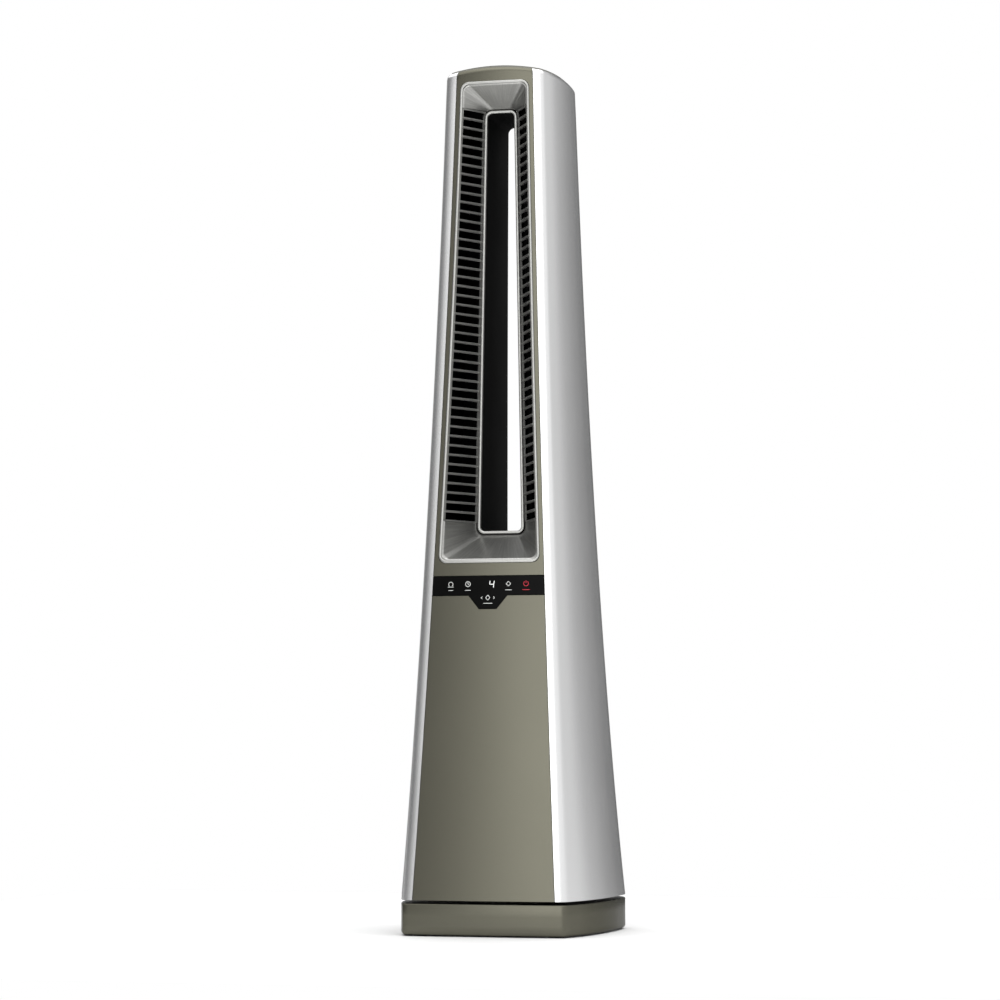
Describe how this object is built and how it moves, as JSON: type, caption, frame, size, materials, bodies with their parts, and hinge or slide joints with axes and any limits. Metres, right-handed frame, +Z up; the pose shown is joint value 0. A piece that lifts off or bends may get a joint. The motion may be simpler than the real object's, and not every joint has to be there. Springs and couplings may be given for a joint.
{
  "type": "tower fan",
  "caption": "Tapered tower fan with an open air loop, louvred sloping walls, touch control strip and a body that oscillates on a flat base.",
  "frame": {"origin": "centre of the footprint on the floor, below the swivel axis", "axes": "+Z up along the swivel axis, -Y out of the front with the air window, +X to the right seen from the front"},
  "size_m": [0.224, 0.24, 0.945],
  "materials": {
    "olive_paint": "metallic olive-grey paint, satin clear coat",
    "dark_olive_plastic": "fine moulded texture",
    "silver_paint": "metallic silver paint, satin clear coat",
    "satin_grey": "satin silver-grey paint",
    "bright_trim": "bright plated plastic",
    "gloss_black": "polished black acrylic",
    "black_plastic": "fine moulded texture",
    "grey_plastic": "moulded",
    "white_plastic": "moulded acetal",
    "steel": "zinc plated",
    "rubber": "soft moulded",
    "circuit_board": "green solder resist",
    "display_red": "dark red filter"
  },
  "bodies": {
    "base": {"base_cover": "olive_paint", "base_bottom_plate": "steel", "rubber_foot_front_left": "rubber", "rubber_foot_front_right": "rubber", "rubber_foot_rear_left": "rubber", "rubber_foot_rear_right": "rubber", "swivel_post": "grey_plastic", "swivel_bearing_ring": "white_plastic", "post_retaining_ring": "steel", "fixed_gear": "white_plastic", "cord_gland": "black_plastic"},
    "body": {"front_panel": "olive_paint", "top_cap": "dark_olive_plastic", "rear_lower_cover": "dark_olive_plastic", "rear_upper_cover": "dark_olive_plastic", "intake_grille": "dark_olive_plastic", "left_side_shell": "silver_paint", "right_side_shell": "silver_paint", "upper_hopper": "satin_grey", "lower_hopper": "satin_grey", "left_louvre": "satin_grey", "right_louvre": "satin_grey", "outer_trim_ring": "bright_trim", "inner_trim_ring": "bright_trim", "control_lens": "gloss_black", "tunnel_liner": "black_plastic", "turntable_plate": "black_plastic", "infrared_receiver": "black_plastic", "blower_deck": "black_plastic", "blower_housing": "black_plastic", "air_plenum": "black_plastic", "left_air_duct": "black_plastic", "right_air_duct": "black_plastic", "board_carrier": "black_plastic", "inlet_bellmouth": "grey_plastic", "diffuser_ring": "grey_plastic", "ionizer_module": "white_plastic", "motor_bracket": "steel", "oscillation_gearmotor": "steel", "blower_motor": "steel", "touch_spring_ion": "steel", "touch_spring_timer": "steel", "touch_spring_speed": "steel", "touch_spring_power": "steel", "touch_spring_oscillate": "steel", "rear_screw_lower_left": "steel", "rear_screw_lower_right": "steel", "rear_screw_upper_left": "steel", "rear_screw_upper_right": "steel", "control_board": "circuit_board", "power_board": "circuit_board", "digit_display": "display_red"},
    "rotor": {"blower_impeller": "grey_plastic", "rotor_shaft": "steel"},
    "pinion": {"oscillation_pinion": "white_plastic"}
  },
  "joints": [
    {"name": "oscillation_swivel", "type": "hinge", "parent": "base", "child": "body", "pos_m": [0, 0, 0.038], "axis": [0, 0, 1], "range_deg": [-40, 40]},
    {"name": "pinion_spin", "type": "hinge", "parent": "body", "child": "pinion", "pos_m": [0.032, 0, 0.0495], "axis": [0, 0, 1], "range_deg": [-121, 121]},
    {"name": "impeller_spin", "type": "hinge", "parent": "body", "child": "rotor", "pos_m": [0, 0, 0.248], "axis": [0, 0, 1], "continuous": true}
  ],
  "couplings": [
    {"joint": "pinion_spin", "follows": "oscillation_swivel", "ratio": 3}
  ]
}
